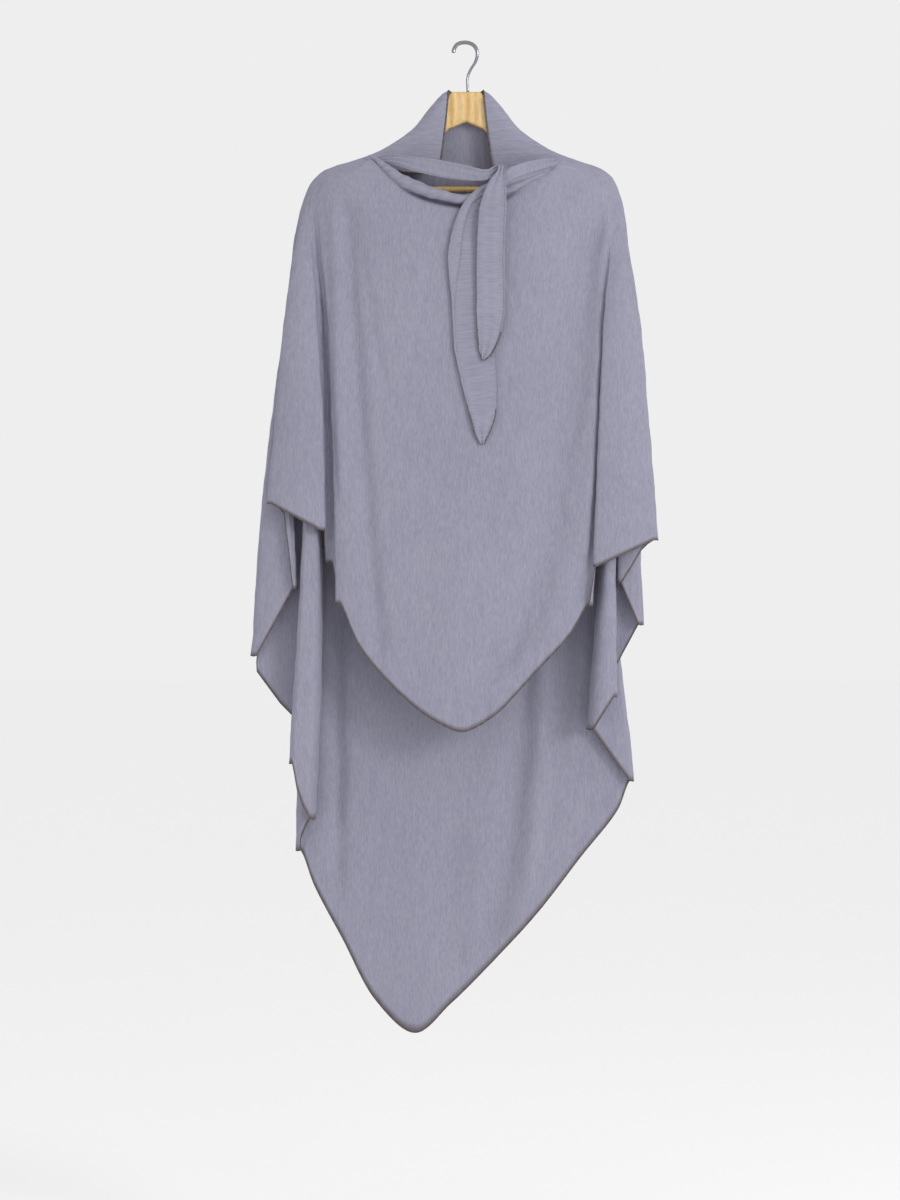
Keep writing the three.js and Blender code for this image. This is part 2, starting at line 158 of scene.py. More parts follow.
# %% Round tubes
def tube_grid(path, radius, sides, closed):
    """A round tube's grid along path, shape (n, 3): a circle square to the path at each point.

    The circle's first axis is the one of X, Y or Z that lies most across the whole path, made
    square to the tangent, so the tube doesn't twist.
    """
    if closed:
        tangent = np.roll(path, -1, axis=0) - np.roll(path, 1, axis=0)
    else:
        tangent = np.gradient(path, axis=0)
    tangent /= np.maximum(np.linalg.norm(tangent, axis=1, keepdims=True), 1e-9)
    side = np.eye(3)[np.argmin(np.abs(tangent).mean(axis=0))]
    first = side - (tangent @ side)[:, None] * tangent
    first /= np.linalg.norm(first, axis=1, keepdims=True)
    second = np.cross(tangent, first)
    turn = np.linspace(0, 2 * np.pi, sides, endpoint=False)
    ring = np.cos(turn)[:, None, None] * first + np.sin(turn)[:, None, None] * second
    return path + ring * np.reshape(radius, (-1, 1))


def tube_piece(name, path, radius, sides, closed=False):
    """A tube's mesh: the grid of tube_grid, with a flat cap at each end where it isn't closed.

    Point n of ring k has the number k times sides plus n, and each quad joins two neighbours of
    one ring to the same two of the next.
    """
    rings = len(path)
    grid = tube_grid(path, np.broadcast_to(radius, rings), sides, closed)
    ring = np.arange(rings if closed else rings - 1)[:, None] * sides
    spoke = np.arange(sides)[None, :]
    next_ring = (ring + sides) % (rings * sides)
    next_spoke = (spoke + 1) % sides
    quads = np.stack([ring + spoke, ring + next_spoke, next_ring + next_spoke, next_ring + spoke],
                     axis=-1)
    piece = mesh_piece(name, grid.transpose(1, 0, 2).reshape(-1, 3), quads.reshape(-1, 4))
    if not closed:
        close_ends(piece)
    return piece


def close_ends(piece):
    """Fills a tube's two open ends with one face each and points all the faces outwards."""
    work = bmesh.new()
    work.from_mesh(piece.data)
    bmesh.ops.holes_fill(work, edges=[e for e in work.edges if e.is_boundary], sides=0)
    bmesh.ops.recalc_face_normals(work, faces=work.faces)
    work.to_mesh(piece.data)
    work.free()


print("grid of a tube with 3 rings:", tube_grid(np.eye(3), np.ones(3), 8, False).shape)

# %% [markdown]
# ## The veil's shape
#
# The real veil is one soft wall of crepe. At the top a yoke runs from the edge of the face
# opening over the collar to the shoulders; below it the cloth falls in a front panel that ends
# in a round point, a back panel that ends in a long point, and a cascade of folds at each side.
# It could be simulated, but a cloth simulation never falls into these very folds. So the wall
# is worked out from the same kind of tables as the solids: each column is one thread from the
# opening down to the hem, and the columns run once round the body. Places are shares in percent
# of a half width, a depth and a drop in mm, so each table reads like a pattern maker's notes.

# %% Sizes and the yoke's lines
# In mm. SHARE turns one percent across, back and down into mm.
HALF_WIDTH = 290
HANG_DROP = 1450
VEIL_DEPTH = 100
SHARE = np.array([HALF_WIDTH, VEIL_DEPTH, -HANG_DROP]) / 100
CLOTH_THICK = 0.8

# For each line from the opening's edge to the shoulder: how much narrower it is on the right,
# then out, back and down at ten guides from the front centre round the side to the back centre.
YOKE = (
    (1, (0, 23.5, 44.5, 30, 13.8, 10.7, 9.2, 8.8, 7.6, 0),
     (-46, -39, -20, -9, -9.5, -10.5, -10, -2, 8.5, 10),
     (15.7, 14.3, 11.95, 12.85, 12.5, 8.65, 5.75, 4.65, 4.7, 4.9)),
    (1, (0, 25, 48, 38, 27, 19, 13, 9.9, 8, 0),
     (-48.5, -41, -22, -10.5, -10.5, -10.5, -10, 0, 9, 10.5),
     (16.3, 15, 11.75, 11.7, 10.6, 8, 5.9, 4.75, 5.1, 5.4)),
    (1, (0, 27, 53, 50, 38, 25.5, 16.5, 10.8, 8.3, 0),
     (-50, -43, -23, -9, -3, -1, -1, 5, 10.5, 11),
     (17, 16, 12.5, 11.6, 10.2, 8.3, 6, 4.95, 6.2, 6.5)),
    (0.99, (0, 28.5, 58.5, 60, 47, 32, 20.5, 12.5, 8.6, 0),
     (-51, -45, -24, -6, 6, 9, 10, 10.5, 11.5, 12),
     (18, 17.2, 13.3, 12, 11.3, 9.8, 7.8, 7, 7.6, 7.8)),
    (0.975, (0, 30, 66, 72, 60, 44, 29, 16, 9, 0),
     (-52, -46.5, -24, -2, 13, 15, 17, 18, 18.5, 19),
     (20, 19, 14.2, 12.8, 13, 12.5, 12, 11.7, 11.6, 11.6)),
    (0.96, (0, 32, 71.5, 80.8, 75.5, 61, 44, 25, 10, 0),
     (-53, -48, -22, 0, 17, 25, 29, 31, 32, 32),
     (22, 20.5, 15.9, 15.3, 15.9, 17, 18, 18.5, 18.7, 18.8)),
)
# The side folds hang from the yoke between these two guides.
ROOT_GUIDE, CORNER_GUIDE = 2, 4


def yoke_points(side, guide):
    """The six points where a thread at this guide crosses the yoke's lines, in mm."""
    lines = []
    for narrower, out, back, down in YOKE:
        width = side * (narrower if side > 0 else 1)
        guides = np.stack([np.multiply(out, width), back, down], axis=1) * SHARE
        lines.append(catmull_rom(guides, np.array([guide]))[0])
    return np.array(lines)


print("the left shoulder point in mm:", yoke_points(-1, 3)[-1].round(1))

# %% The fold tables
# For each fold from the front panel round to the back: out at one third, two thirds and the
# hem; how far down the hem is; how far the cloth runs in and out of the turn beside the tip
# (none for a plain bend); and the depth where it comes in, at the tip and where it leaves.
LEFT_FOLDS = (
    ("panel_edge", (68.3, 66, 64.5), 55.9, (-2, -0.3), (-46, -43, -37)),
    ("groove", (71, 68.5, 68), 51.8, (-1.6, 1.6), (-29, -26, -29)),
    ("flap_inner", (74.5, 71, 70), 48.6, (0.3, 2.4), (-38, -45, -49)),
    ("flap_outer", (89, 94, 99), 46, (-2.4, -2.4), (-45, -38, -31)),
    ("under_flap", (85, 88, 90.5), 46.9, (), (-29,)),
    ("tuck", (85, 86.5, 84.3), 54.4, (2, 2), (-27, -21.5, -16)),
    ("wing_outer", (92.5, 101.8, 107), 61.1, (-2.4, -2.4), (-12, -5, 2)),
    ("wing_back", (85, 97, 104.5), 62.7, (), (3,)),
    ("pocket", (80.3, 77.5, 77.5), 68.4, (2.8, 1.2), (6, -8, -22)),
    ("pillar_outer", (78.8, 82.3, 88), 71.8, (-1.7, -1.7), (-24, -30, -36)),
    ("pillar_face", (77.3, 79.5, 84), 74.3, (), (-36,)),
    ("pillar_inner", (75.3, 71.5, 75), 77.3, (2.8, 2.8), (-35, -9, 17)),
    ("pillar_back", (76.5, 77, 83), 79.6, (), (19,)),
    ("back_outer", (79, 82.5, 85.5), 80.7, (-2.4, -2.4), (20, 26, 32)),
)
RIGHT_FOLDS = (
    ("panel_edge", (69.7, 68.3, 62.3), 56.1, (-2, -1), (-34, -38.5, -42.5)),
    ("flap_inner", (68.4, 65.3, 62.8), 52.2, (1, 2), (-44, -47.5, -51)),
    ("flap_outer", (85.8, 91, 95.3), 49.6, (-2.4, -2.4), (-45, -38, -31)),
    ("under_flap", (81, 84, 87), 50.6, (), (-29,)),
    ("tuck", (78, 76.5, 75.3), 53.8, (2, 2), (-27, -21.5, -16)),
    ("wing_outer", (83, 86, 88.5), 58, (-2.4, -2.4), (-12, -5, 2)),
    ("pocket", (75.5, 71.3, 68.5), 63.6, (2.8, 1.2), (6, -8, -22)),
    ("pillar_outer", (74, 74.3, 75), 65.2, (-0.3, -1.7), (-24, -27, -31)),
    ("pillar_inner", (71.8, 67, 60.5), 68.4, (2.8, 2.8), (-30, -7, 17)),
    ("back_outer", (73, 74.3, 84.8), 73.7, (-2.4, -2.4), (20, 26, 32)),
)
print(len(LEFT_FOLDS), "folds on the left and", len(RIGHT_FOLDS), "on the right")

# %% The panels' hems
# The hems between the folds: across (negative on the left), down, back and the yoke's guide.
FRONT_HEM = (
    (-53, 60.1, -49, 1.53), (-38.5, 63.7, -51, 1.16), (-22.5, 66.6, -52, 0.7),
    (-11, 68, -53, 0.34), (-1.5, 68.6, -53, 0), (14.5, 66.9, -52, 0.45),
    (24.5, 64.9, -51, 0.77), (34.5, 62.7, -49, 1.06), (51, 59.1, -44, 1.5),
)
BACK_HEM = (
    (-76, 84.3, 34, 5), (-62, 89.6, 36, 6), (-45, 95.9, 37, 7), (-25.5, 99.1, 37, 8),
    (-8, 96.2, 37, 9), (14, 91.8, 37, 8), (36, 87, 37, 7), (58, 81.3, 36, 6), (76, 76.7, 34, 5),
)
print("the points are", FRONT_HEM[4][1], "and", BACK_HEM[3][1], "percent down")

# %% Threads from the tables
# How much of a fold's depth and of its turn there is at one third, two thirds and the hem.
FOLD_GROWTH = np.array([0.7, 0.97, 1])
TURN_GROWTH = np.array([0.25, 0.85, 1])
THIRDS = np.array([1, 2, 3]) / 3


def thread(side, guide, across, back, hem_down):
    """One thread's nine points: six on the yoke, then three down to the hem.

    Below the shoulder the height goes down evenly and the depth goes from the shoulder's to
    back by FOLD_GROWTH. across holds the three places across.
    """
    upper = yoke_points(side, guide)
    shoulder = upper[-1]
    depth = shoulder[1] + (back * SHARE[1] - shoulder[1]) * FOLD_GROWTH
    height = shoulder[2] + (hem_down * SHARE[2] - shoulder[2]) * THIRDS
    lower = np.stack([np.asarray(across) * SHARE[0], depth, height], axis=1)
    return np.concatenate([upper, lower])


def fold_threads(side, folds):
    """The threads of one side's folds: three for a fold that turns, one for a plain bend."""
    spots = []
    for name, out, hem, turn, back in folds:
        shifts = (turn[0], 0, turn[1]) if turn else (0,)
        spots += [(name, np.array(out), hem, shift, b) for shift, b in zip(shifts, back)]
    guides = np.linspace(ROOT_GUIDE, CORNER_GUIDE, len(spots))
    return [(name, guide, thread(side, guide, side * (out + shift * TURN_GROWTH), b, hem))
            for guide, (name, out, hem, shift, b) in zip(guides, spots)]


def panel_threads(name, hems):
    """The threads of a panel: straight from the shoulder line to the hem."""
    found = []
    for across, down, back, guide in hems:
        side = -1 if across < 0 else 1
        shoulder = yoke_points(side, guide)[-1][0] / SHARE[0]
        found.append((name, guide, thread(side, guide, shoulder + (across - shoulder) * THIRDS,
                                          back, down)))
    return found


print("a thread's points in mm:", thread(-1, 0, (-1.5, -1.5, -1.5), -53, 68.6).round().tolist())

# %% All the threads, once round
# The ring starts at the front's middle and goes round by the left, the back and the right.
middle = [row[3] for row in FRONT_HEM].index(0)
front = panel_threads("front", FRONT_HEM)
threads = (front[:middle + 1][::-1] + fold_threads(-1, LEFT_FOLDS)
           + panel_threads("back", BACK_HEM) + fold_threads(1, RIGHT_FOLDS)[::-1]
           + front[middle + 1:][::-1])
thread_names = [name for name, _, _ in threads]
print(len(threads), "threads round the veil")

# %% [markdown]
# ## From threads to a fine grid
#
# Down each thread the curve is followed first, then every row is closed into a smooth ring
# across the threads. Panels have few threads, so they are divided more finely than folds.

# %% The fine grid
# Steps between two threads of a panel or of the folds, and between two points down a thread.
PANEL_SPLIT, FOLD_SPLIT = 10, 2
YOKE_SPLIT, BODY_SPLIT = 7, 28

# Each row's place down a thread: 0 is the opening, 5 the shoulder and 8 the hem.
shoulder_row = len(YOKE) - 1
yoke_rows = np.arange(shoulder_row * YOKE_SPLIT) / YOKE_SPLIT
body_rows = shoulder_row + np.arange(len(THIRDS) * BODY_SPLIT + 1) / BODY_SPLIT
rows = np.concatenate([yoke_rows, body_rows])
coarse = catmull_rom(np.array([points for _, _, points in threads]), rows)


def close_ring(values, splits):
    """Smooth rings across the threads: values has shape (threads, rows, 3).

    Span i, from thread i to the next, gets splits[i] equal steps of its centripetal curve.
    """
    span = np.repeat(np.arange(len(splits)), splits)
    share = np.concatenate([np.arange(n) / n for n in splits])[:, None, None]
    around = len(values)
    return hermite(*(values[(span + k) % around] for k in (-1, 0, 1, 2)), share)


is_panel = np.array([name in ("front", "back") for name in thread_names])
splits = np.where(is_panel | np.roll(is_panel, -1), PANEL_SPLIT, FOLD_SPLIT)
cloth = close_ring(coarse, splits)
around, along = cloth.shape[:2]
span_of = np.repeat(np.arange(len(splits)), splits)
print("grid", around, "by", along, "points")

# %% [markdown]
# ## Soft folds
#
# Between the deep folds the panels carry soft valleys and ridges, which the light from the side
# picks out. They could be sculpted by hand, but a formula can be read and changed, so each is a
# bell-shaped dent along a bent line, pushed to the back by a few millimetres.

# %% Soft folds
# For each soft fold: its line's places, as out and down in percent; how far it goes to the back
# in mm (negative is a ridge); and its half width in mm.
FRONT_CREASES = (
    ("left ridge", ((-67, 15), (-64.5, 24), (-62.5, 44.5)), -4.5, 12),
    ("left valley", ((-59.5, 16), (-52, 39.5), (-43, 61)), 6.5, 11),
    ("faint crease", ((-55.5, 17), (-45.5, 29.5), (-38, 36)), 2.2, 8),
    ("left wrinkle", ((-50.5, 15), (-44, 16.5), (-34, 19)), 2.4, 8),
    ("right valley", ((62, 18), (52, 32), (40, 49.5), (25, 59.5), (12, 62.5)), 13, 29),
    ("right ridge", ((72, 19), (67, 33), (60, 51.5)), -9, 20),
    ("middle rise", ((-12, 46), (-6, 66)), -4, 50),
)
BACK_CREASES = (
    ("left valley", ((-64.5, 56), (-64.5, 84.5)), 7, 11),
    ("middle valley", ((31, 60), (29.5, 67), (22, 79.5), (12, 90)), 11, 22),
    ("right band", ((38, 60), (36, 73), (31, 85)), -6, 16),
    ("faint crease", ((43, 75.5), (32, 86)), 2.5, 8),
    ("low hollow", ((-8, 78), (-6, 92)), 6, 30),
)
CREASE_FADE = 30


def creases(grid, table):
    """How far back each point is pushed, in mm: a bell curve across each crease's line.

    Across the line the push is exp(-(x - line)^2 / width^2); along it, it comes in and goes out
    within CREASE_FADE mm of each end.
    """
    push = np.zeros(grid.shape[:2])
    for name, line, depth, width in table:
        across, down = (np.array(line) * (HALF_WIDTH / 100, HANG_DROP / 100)).T
        fallen = -grid[..., 2]
        centre = np.interp(fallen, down, across)
        begun = smooth_step(down[0] - CREASE_FADE, down[0] + CREASE_FADE, fallen)
        ended = smooth_step(down[-1] - CREASE_FADE, down[-1] + CREASE_FADE, fallen)
        bell = np.exp(-((grid[..., 0] - centre) / width) ** 2)
        push += depth * (begun * (1 - ended)) * bell
    return push


print(len(FRONT_CREASES), "soft folds in front and", len(BACK_CREASES), "behind")

# %% The soft folds on their panels
# They fade between these shares of the panel's half width, and between these rows of the yoke.
PANEL_EDGE = (0.93, 1)
YOKE_EDGE = (4, 5.2)


def panel_columns(panel):
    """True for each column of the grid that lies between or beside this panel's threads."""
    on_it = np.array(thread_names) == panel
    return (on_it | np.roll(on_it, -1))[span_of][:, None]


def panel_share(grid, mask):
    """1 inside a panel's columns, going to 0 at the folds beside it and on the yoke."""
    reach = np.where(mask, np.abs(grid[..., 0]), 0).max(axis=0, keepdims=True)
    inside = 1 - smooth_step(*PANEL_EDGE, np.abs(grid[..., 0]) / np.maximum(reach, 1))
    return np.where(mask, inside, 0) * smooth_step(*YOKE_EDGE, rows)[None, :]


is_front = panel_columns("front")
is_back = panel_columns("back")
push = creases(cloth, FRONT_CREASES) * panel_share(cloth, is_front)
push += creases(cloth, BACK_CREASES) * panel_share(cloth, is_back)
cloth[..., 1] += push
print("soft folds push from", push.min().round(1), "to", push.max().round(1), "mm")

# %% [markdown]
# ## The tuck under the neckline
#
# The neckline's thick casing hangs over the thin front panel, which is drawn in behind it, so a
# narrow dark gap shows there. A dark line could be painted on, but a real tuck shades itself from
# every side, so the cloth goes in along a line just below the casing.

# %% The tuck
# The tuck's line is across and down in percent. The cloth goes in by TUCK_DEEP mm over a half
# height of TUCK_TALL mm. From left to right it comes in and goes out between two pairs of places
# in mm, and it spares the opening's own edge, coming in over the first row of the yoke.
TUCK_LINE = ((-40, 13.7), (-30, 14.82), (-20, 15.67), (-12, 16.1), (-2, 16.42), (8, 16.28),
             (18, 15.67), (27, 14.75), (35, 14))
TUCK_DEEP, TUCK_TALL = 15, 3.8
TUCK_IN, TUCK_OUT = (-105, -60), (35, 85)
OPENING_KEPT = (0.3, 1)

tuck_across, tuck_down = (np.array(TUCK_LINE) * (HALF_WIDTH / 100, HANG_DROP / 100)).T
below = -cloth[..., 2] - np.interp(cloth[..., 0], tuck_across, tuck_down)
tucked = smooth_step(*TUCK_IN, cloth[..., 0]) * (1 - smooth_step(*TUCK_OUT, cloth[..., 0]))
tucked = tucked * np.exp(-(below / TUCK_TALL) ** 2) * smooth_step(*OPENING_KEPT, rows)[None, :]
cloth[..., 1] += TUCK_DEEP * np.where(is_front, tucked, 0)
print("tucked points:", int((tucked > 0.1).sum()))

# %% [markdown]
# ## Low waves of the crepe
#
# Crepe never lies flat, and its rolled hem is stretched into small waves, as a lettuce leaf's
# edge is. Displacing by a texture would need its own UV map, so sine waves in random directions
# are added up at each point and move it along the cloth's normal. They are longer down the cloth
# than across it.

# %% Low waves
# Each set of waves: height in mm, pitch across in mm, how much longer it is down, and its seed.
HANGING_WAVES = ((0.5, 28, 3.5, 3), (0.16, 9, 3, 5))
ALL_OVER_WAVES = (0.12, 7, 0.8, 7)
HEM_CHANGE = (0.6, 90, 1, 9)
# The hanging waves come in between these rows, and the hem's waves over the last rows.
HANGING_ROWS = (2, 5)
LETTUCE_HEIGHT, LETTUCE_PITCH, LETTUCE_ROWS = 0.7, 23, 0.12


def low_waves(points, height, pitch, stretch, seed, count=24):
    """A smooth uneven field of about height: count sine waves with random directions added up.

    pitch is the wavelength across in mm, and stretch says how much longer it is down the cloth.
    """
    rng = np.random.default_rng(seed)
    turn = rng.uniform(0, 2 * np.pi, count)
    size = 2 * np.pi / pitch * rng.uniform(0.6, 1.5, count)
    waves = np.stack([np.cos(turn), np.sin(turn), rng.normal(0, 1, count) / stretch], axis=1)
    angle = points @ (waves * size[:, None]).T + rng.uniform(0, 2 * np.pi, count)
    return height * (np.sin(angle).sum(axis=-1) / np.sqrt(count))


hem_steps = np.linalg.norm(np.roll(cloth[:, -1], -1, axis=0) - cloth[:, -1], axis=-1)
lettuce = np.sin(np.cumsum(hem_steps) * 2 * np.pi / LETTUCE_PITCH)[:, None]
near_hem = smooth_step(rows[-1] - LETTUCE_ROWS, rows[-1], rows)[None, :]
bumps = sum(low_waves(cloth, *waves) for waves in HANGING_WAVES)
bumps = bumps * smooth_step(*HANGING_ROWS, rows)[None, :] + low_waves(cloth, *ALL_OVER_WAVES)
bumps += LETTUCE_HEIGHT * near_hem * lettuce * (1 + low_waves(cloth, *HEM_CHANGE))
cloth += grid_normals(cloth, True) * bumps[..., None]
print("waves of at most", np.abs(bumps).max().round(2), "mm")

# %% [markdown]
# ## The wall
#
# The grid becomes one mesh, and Solidify gives it the cloth's thickness. Two attributes go with
# it for the material: collar, where the crinkle runs round the neck instead of down, and hem,
# the last rows under the rolled edge.

# %% The veil's wall
# The collar's mark ends between these rows, and in front between these depths in mm.
COLLAR_ROWS, COLLAR_BACK = (1.8, 3.4), (-36, -24)
# The hem's mark begins this share of a row's place above the edge.
HEM_ROWS = 0.012


def mark_points(piece, name, values):
    """Stores one number for each point of a piece as the attribute name."""
    mark = piece.data.attributes.new(name, "FLOAT", "POINT")
    mark.data.foreach_set("value", np.asarray(values, np.float32).ravel())


veil = mesh_piece("veil_cloth", cloth.reshape(-1, 3), grid_quads(around, along, True))
on_collar = (1 - smooth_step(*COLLAR_ROWS, rows)) * smooth_step(*COLLAR_BACK, cloth[..., 1])
mark_points(veil, "collar", on_collar)
on_hem = smooth_step(rows[-1] - HEM_ROWS, rows[-1], rows)
mark_points(veil, "hem", np.broadcast_to(on_hem, (around, along)))

wall = veil.modifiers.new("wall", "SOLIDIFY")
wall.thickness = CLOTH_THICK / 1000
wall.offset = 0
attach(veil, "root")
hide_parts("veil")
print("veil:", len(veil.data.polygons), "quads before it has its thickness")

# %% [markdown]
# ## The rolled edges
#
# A crepe veil's edges are rolled and overlocked with a thread that is browner than the cloth. It
# could be painted on, but a real bead catches the light, so a thin tube follows each edge. The
# neckline's lower edge is rolled over a casing as thick as a finger, which shows below the ties.

# %% Edge beads
# Radii in mm and the number of sides of each bead's section.
HEM_BEAD, OPENING_BEAD, BEAD_SIDES = 0.75, 1.2, 8

hem_bead = tube_piece("hem_bead", cloth[:, -1], HEM_BEAD, BEAD_SIDES, closed=True)
opening_bead = tube_piece("opening_bead", cloth[:, 0], OPENING_BEAD, BEAD_SIDES, closed=True)
for bead in (hem_bead, opening_bead):
    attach(bead, "root")
print("the hem is", round(hem_steps.sum()), "mm long")

# %% The neckline's roll
# Its line along the neckline's lower edge: across, back and down in percent, and radius in mm.
ROLL = (
    (-48.5, -16, 11.25, 1.4), (-42, -26, 12.1, 4.8), (-38, -31, 12.9, 6.8), (-30, -37, 14.04, 9),
    (-20, -43.5, 14.91, 8.5), (-12, -47, 15.42, 7.4), (-2, -49, 15.79, 6.6), (8, -48.5, 15.64, 7),
    (18, -44.5, 14.98, 7.5), (27, -39.5, 14.1, 7), (35, -34, 13.3, 6.2), (42, -27, 12.4, 4.2),
    (48, -18, 11.5, 1.4),
)
ROLL_RINGS, ROLL_SIDES = 160, 18
# It isn't even: its line sways by 0.5 mm and its radius swells by a twentieth, each as a sine
# wave that turns by this many radians from one row of the table to the next.
ROLL_SWAY, SWAY_TURN = 0.5, 4.1
ROLL_SWELL, SWELL_TURN = 0.05, 9

roll_table = np.array(ROLL)
roll_at = np.linspace(0, len(ROLL) - 1, ROLL_RINGS)
roll_line = catmull_rom(roll_table[:, :3] * SHARE, roll_at)
roll_line += ROLL_SWAY * np.sin(roll_at * SWAY_TURN)[:, None] * np.array([0, 0, 1])
roll_radius = np.interp(roll_at, np.arange(len(ROLL)), roll_table[:, 3])
roll_radius = roll_radius * (1 + ROLL_SWELL * np.sin(roll_at * SWELL_TURN))
neck_roll = tube_piece("neckline_roll", roll_line, roll_radius, ROLL_SIDES)
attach(neck_roll, "root")
print("the neckline's roll has", ROLL_RINGS, "rings")

# %% [markdown]
# ## The ties
#
# Each tie is a strip of the same crepe, folded in two along its length with its free edges on
# one side. It is sewn to the neckline's corner, crosses the throat, goes through one loose
# overhand knot and hangs down. A strip is a section carried along a path: at each step the
# table gives the place, how wide and how thick it lies there, and how far its face has turned.

# %% The tie tables
# across, back and down in percent; width and thickness as shares of the flat strip's; lean,
# the turn of the strip's width in degrees; and lap, the share of its width that is doubled.
LEFT_TIE = (
    (-43.4, -22.5, 11.75, 0.2, 0.9, 95, 0.9), (-36, -32, 11.75, 0.34, 1, 95, 0.9),
    (-26, -42, 12.25, 0.52, 1.1, 98, 0.9), (-12, -51, 12.85, 0.6, 1.2, 100, 0.9),
    (0, -59, 13.3, 0.54, 1.4, 100, 0.9), (7.5, -63.5, 13.55, 0.4, 1.5, 102, 0.9),
    (12, -60, 13.4, 0.36, 1.4, 112, 0.9), (15.5, -55.5, 13, 0.34, 1.3, 140, 0.9),
    (17.3, -56, 13, 0.34, 1.3, 172, 0.9), (17.7, -61, 12.65, 0.26, 1.3, 180, 0.9),
    (17.3, -67.5, 13.3, 0.32, 1.3, 180, 0.9), (15.2, -71, 14.7, 0.7, 1.2, 180, 0.85),
    (13.3, -69, 17, 0.98, 1.1, 180, 0.88), (12.2, -65.5, 21.5, 1, 1, 180, 0.9),
    (12.2, -64.5, 27, 1.02, 1, 180, 0.9), (11.1, -63.5, 29.5, 0.78, 1, 174, 0.9),
    (9.6, -62.5, 31, 0.48, 1, 162, 0.9), (8.3, -62, 31.8, 0.12, 0.8, 160, 0.9),
)
RIGHT_TIE = (
    (44, -30.8, 12.1, 0.3, 0.9, 85, 0.8), (38, -40, 12.4, 0.44, 1, 83, 0.75),
    (30, -50, 12.95, 0.58, 1.1, 80, 0.7), (22, -59, 13.6, 0.56, 1.3, 92, 0.7),
    (15, -63.5, 14.45, 0.42, 1.3, 108, 0.8), (11.5, -61.5, 14.85, 0.4, 1.3, 122, 0.8),
    (8, -59, 15.3, 0.46, 1.3, 135, 0.6), (3.2, -57.5, 16.4, 0.6, 1.2, 155, 0.45),
    (0.2, -57, 18.6, 0.9, 1, 172, 0.42), (-0.6, -58, 21.4, 1.22, 1, 180, 0.4),
    (1.6, -58.3, 26, 1.26, 1, 180, 0.08), (3.9, -58.5, 30.5, 1.42, 1, 181, 0.06),
    (6.9, -58.5, 34.6, 1.2, 1, 182, 0.06), (8.3, -58.5, 37.4, 0.88, 1, 184, 0.06),
    (7.9, -58.5, 39.1, 0.5, 1, 186, 0.06), (8, -58.5, 40.1, 0.14, 0.8, 188, 0.06),
)
# The flat strip's folded width and its thickness over both layers, in mm.
TIE_WIDTH, TIE_WALL = 40, 2.6
print("the ties have", len(LEFT_TIE), "and", len(RIGHT_TIE), "sections")

# %% A folded strip
# Points across a strip, and steps between two rows of its table.
TIE_AROUND, TIE_STEPS = 41, 12
# The loop starts this share of a half turn past its right edge, where the free edges lie.
LOOP_START = 0.04
# The section's powers: 1 and 1 would make an ellipse, and lower ones make it fuller.
SIDE_POWER, FACE_POWER = 0.8, 0.6
# In mm: how far inside the strip's faces its layers lie, and the pleats' height on a flat strip
# and how much more it is on one that is drawn together to nothing.
LAYER_INSIDE, PLEAT_FLAT, PLEAT_DRAWN = 0.35, 0.35, 1.1
# How far the pleats' wave wanders along the strip, in radians, and in how many table rows.
PLEAT_WANDER, PLEAT_ROWS = 1.3, 1.7
# For each tie: how many pleats lie across it, and the seed of its pleats and waves.
SHORT_TIE, LONG_TIE = (2.5, 11), (2, 17)


def unit(vectors):
    """Vectors along the last axis, made one long."""
    return vectors / np.linalg.norm(vectors, axis=-1, keepdims=True)


def signed_power(value, power):
    """The value's size to a power, with its sign kept."""
    return np.sign(value) * np.abs(value) ** power


def strip_grid(table, pleats, seed):
    """A folded strip's grid, shape (TIE_AROUND, steps, 3), and how far along it each row is.

    The section is a flat loop, out = cos(turn) and deep = sin(turn), each to its power. It
    starts at the right edge behind, goes round the fold at the left edge and ends in front,
    where the doubled share of the width, lap, ends: at acos(1 - 2 lap) past the fold. Its width
    direction (cos lean, 0, sin lean) is made square to the path. Shallow pleats, deeper where
    the strip is drawn together, push both layers by the same sine wave.
    """
    values = np.array(table, float)
    at = np.linspace(0, len(table) - 1, (len(table) - 1) * TIE_STEPS + 1)
    path = catmull_rom(values[:, :3] * SHARE, at)
    width, thick, lean, lap = (np.interp(at, np.arange(len(table)), column)
                               for column in values[:, 3:].T)
    lean = np.radians(lean)
    tangent = unit(np.gradient(path, axis=0))
    out = np.stack([np.cos(lean), 0 * lean, np.sin(lean)], axis=1)
    out = unit(out - (out * tangent).sum(axis=1, keepdims=True) * tangent)
    deep = np.cross(tangent, out)
    layer = np.linspace(0, 1, TIE_AROUND)[:, None] * 2
    behind = LOOP_START * np.pi + np.clip(layer, 0, 1) * (1 - LOOP_START) * np.pi
    turn = behind + np.clip(layer - 1, 0, 1) * np.arccos(1 - 2 * lap)
    side = signed_power(-np.cos(turn), SIDE_POWER)
    face = signed_power(np.sin(turn), FACE_POWER)
    pleat = PLEAT_FLAT + PLEAT_DRAWN * np.clip(1 - width, 0, 1)
    ripple = pleat * np.sin(side * np.pi * pleats + PLEAT_WANDER * np.sin(at / PLEAT_ROWS + seed))
    out_by = side * (width * TIE_WIDTH / 2)
    deep_by = face * (thick * TIE_WALL / 2 - LAYER_INSIDE) + ripple
    grid = path + out_by[..., None] * out + deep_by[..., None] * deep
    steps = np.linalg.norm(np.diff(path, axis=0), axis=1)
    return grid, np.concatenate([[0], np.cumsum(steps)])


print("the short tie's grid:", strip_grid(LEFT_TIE, *SHORT_TIE)[0].shape)

# %% The two ties
# The crepe's waves on a strip as height, pitch and stretch; the wall of one layer; and the bead
# round the hemmed end, which reaches this many table rows up both edges: radius and sides.
STRIP_WAVES = (0.2, 12, 1)
LAYER_THICK = 0.6
END_ROWS, END_BEAD, END_SIDES = 2.4, 0.8, 6


